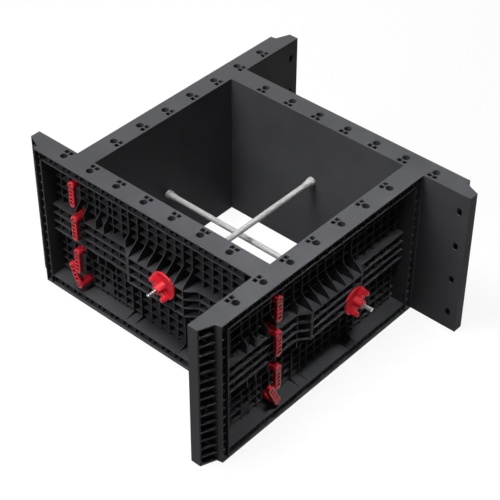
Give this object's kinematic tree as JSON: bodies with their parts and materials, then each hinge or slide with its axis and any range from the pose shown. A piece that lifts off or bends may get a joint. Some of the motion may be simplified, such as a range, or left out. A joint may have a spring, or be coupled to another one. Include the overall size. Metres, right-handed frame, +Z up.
{
  "type": "column formwork",
  "caption": "Reusable plastic column formwork: ribbed panels in a pinwheel, locked at the corners by quarter-turn handles and held by tie rods with flanged wing nuts.",
  "frame": {"origin": "centre of the column cross-section at floor level, the panels' lower edge", "axes": "+Z up along the column; +X and +Y square to the casting faces, +Y along the longer overall side"},
  "size_m": [1.36, 1.46, 0.606],
  "materials": {
    "panel_plastic": "satin moulded, black",
    "handle_plastic": "moulded red nylon, soft gloss",
    "nut_plastic": "moulded red nylon, soft gloss",
    "tie_steel": "zinc-plated, dull",
    "spacer_plastic": "extruded light grey plastic"
  },
  "bodies": {
    "frame": {"panel_a": "panel_plastic", "panel_b": "panel_plastic", "panel_c": "panel_plastic", "panel_d": "panel_plastic", "cone_a": "spacer_plastic", "cone_b": "spacer_plastic", "cone_c": "spacer_plastic", "cone_d": "spacer_plastic", "tie_rod_x": "tie_steel", "tie_rod_y": "tie_steel", "spacer_tube_x": "spacer_plastic", "spacer_tube_y": "spacer_plastic"},
    "handle_a1": {"handle_a1": "handle_plastic"},
    "handle_a2": {"handle_a2": "handle_plastic"},
    "handle_a3": {"handle_a3": "handle_plastic"},
    "handle_a4": {"handle_a4": "handle_plastic"},
    "handle_b1": {"handle_b1": "handle_plastic"},
    "handle_b2": {"handle_b2": "handle_plastic"},
    "handle_b3": {"handle_b3": "handle_plastic"},
    "handle_b4": {"handle_b4": "handle_plastic"},
    "handle_c1": {"handle_c1": "handle_plastic"},
    "handle_c2": {"handle_c2": "handle_plastic"},
    "handle_c3": {"handle_c3": "handle_plastic"},
    "handle_c4": {"handle_c4": "handle_plastic"},
    "handle_d1": {"handle_d1": "handle_plastic"},
    "handle_d2": {"handle_d2": "handle_plastic"},
    "handle_d3": {"handle_d3": "handle_plastic"},
    "handle_d4": {"handle_d4": "handle_plastic"},
    "wing_nut_a": {"wing_nut_a": "nut_plastic"},
    "wing_nut_b": {"wing_nut_b": "nut_plastic"},
    "wing_nut_c": {"wing_nut_c": "nut_plastic"},
    "wing_nut_d": {"wing_nut_d": "nut_plastic"}
  },
  "joints": [
    {"name": "handle_a1_turn", "type": "hinge", "parent": "frame", "child": "handle_a1", "pos_m": [0.482, -0.392, 0.53025], "axis": [1, 0, 0], "range_deg": [0, 90]},
    {"name": "handle_a2_turn", "type": "hinge", "parent": "frame", "child": "handle_a2", "pos_m": [0.482, -0.392, 0.37875], "axis": [1, 0, 0], "range_deg": [0, 90]},
    {"name": "handle_a3_turn", "type": "hinge", "parent": "frame", "child": "handle_a3", "pos_m": [0.482, -0.392, 0.22725], "axis": [1, 0, 0], "range_deg": [0, 90]},
    {"name": "handle_a4_turn", "type": "hinge", "parent": "frame", "child": "handle_a4", "pos_m": [0.482, -0.392, 0.07575], "axis": [1, 0, 0], "range_deg": [0, 66]},
    {"name": "handle_b1_turn", "type": "hinge", "parent": "frame", "child": "handle_b1", "pos_m": [-0.442, -0.432, 0.53025], "axis": [0, -1, 0], "range_deg": [0, 90]},
    {"name": "handle_b2_turn", "type": "hinge", "parent": "frame", "child": "handle_b2", "pos_m": [-0.442, -0.432, 0.37875], "axis": [0, -1, 0], "range_deg": [0, 90]},
    {"name": "handle_b3_turn", "type": "hinge", "parent": "frame", "child": "handle_b3", "pos_m": [-0.442, -0.432, 0.22725], "axis": [0, -1, 0], "range_deg": [0, 90]},
    {"name": "handle_b4_turn", "type": "hinge", "parent": "frame", "child": "handle_b4", "pos_m": [-0.442, -0.432, 0.07575], "axis": [0, -1, 0], "range_deg": [0, 66]},
    {"name": "handle_c1_turn", "type": "hinge", "parent": "frame", "child": "handle_c1", "pos_m": [-0.482, 0.392, 0.53025], "axis": [-1, 0, 0], "range_deg": [0, 90]},
    {"name": "handle_c2_turn", "type": "hinge", "parent": "frame", "child": "handle_c2", "pos_m": [-0.482, 0.392, 0.37875], "axis": [-1, 0, 0], "range_deg": [0, 90]},
    {"name": "handle_c3_turn", "type": "hinge", "parent": "frame", "child": "handle_c3", "pos_m": [-0.482, 0.392, 0.22725], "axis": [-1, 0, 0], "range_deg": [0, 90]},
    {"name": "handle_c4_turn", "type": "hinge", "parent": "frame", "child": "handle_c4", "pos_m": [-0.482, 0.392, 0.07575], "axis": [-1, 0, 0], "range_deg": [0, 66]},
    {"name": "handle_d1_turn", "type": "hinge", "parent": "frame", "child": "handle_d1", "pos_m": [0.442, 0.432, 0.53025], "axis": [0, 1, 0], "range_deg": [0, 90]},
    {"name": "handle_d2_turn", "type": "hinge", "parent": "frame", "child": "handle_d2", "pos_m": [0.442, 0.432, 0.37875], "axis": [0, 1, 0], "range_deg": [0, 90]},
    {"name": "handle_d3_turn", "type": "hinge", "parent": "frame", "child": "handle_d3", "pos_m": [0.442, 0.432, 0.22725], "axis": [0, 1, 0], "range_deg": [0, 90]},
    {"name": "handle_d4_turn", "type": "hinge", "parent": "frame", "child": "handle_d4", "pos_m": [0.442, 0.432, 0.07575], "axis": [0, 1, 0], "range_deg": [0, 66]},
    {"name": "wing_nut_a_spin", "type": "hinge", "parent": "frame", "child": "wing_nut_a", "pos_m": [0.482, 0, 0.27], "axis": [1, 0, 0], "continuous": true},
    {"name": "wing_nut_b_spin", "type": "hinge", "parent": "frame", "child": "wing_nut_b", "pos_m": [0, -0.432, 0.336], "axis": [0, -1, 0], "continuous": true},
    {"name": "wing_nut_c_spin", "type": "hinge", "parent": "frame", "child": "wing_nut_c", "pos_m": [-0.482, 0, 0.27], "axis": [-1, 0, 0], "continuous": true},
    {"name": "wing_nut_d_spin", "type": "hinge", "parent": "frame", "child": "wing_nut_d", "pos_m": [0, 0.432, 0.336], "axis": [0, 1, 0], "continuous": true}
  ]
}
